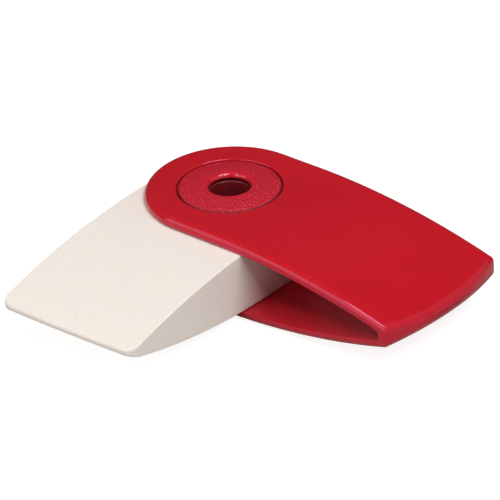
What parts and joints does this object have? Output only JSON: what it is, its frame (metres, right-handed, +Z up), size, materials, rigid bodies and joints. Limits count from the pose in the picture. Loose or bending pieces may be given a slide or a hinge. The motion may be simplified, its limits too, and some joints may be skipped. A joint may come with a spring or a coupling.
{
  "type": "swivel eraser with sleeve",
  "caption": "Pocket eraser: a white vinyl wedge that swivels out of a crowned red plastic sleeve about a hollow two-part rivet.",
  "frame": {"origin": "on the pivot axis, midway through the sleeve's thickness, inside the hole through the rivet", "axes": "+X along the sleeve from the pivot to its closed end, +Z up along the pivot axis, +Y to the side away from the eraser at rest"},
  "size_m": [0.0535, 0.05, 0.013],
  "materials": {
    "sleeve_plastic": "glossy moulded red",
    "eraser_vinyl": "dull off-white vinyl",
    "pivot_plastic": "fine spark-textured red"
  },
  "bodies": {
    "sleeve_body": {"sleeve": "sleeve_plastic", "pivot_cap": "pivot_plastic", "pivot_post": "pivot_plastic"},
    "eraser_body": {"eraser": "eraser_vinyl"}
  },
  "joints": [
    {"name": "eraser_swivel", "type": "hinge", "parent": "sleeve_body", "child": "eraser_body", "pos_m": [0, 0, 0], "axis": [0, 0, 1], "continuous": true}
  ]
}
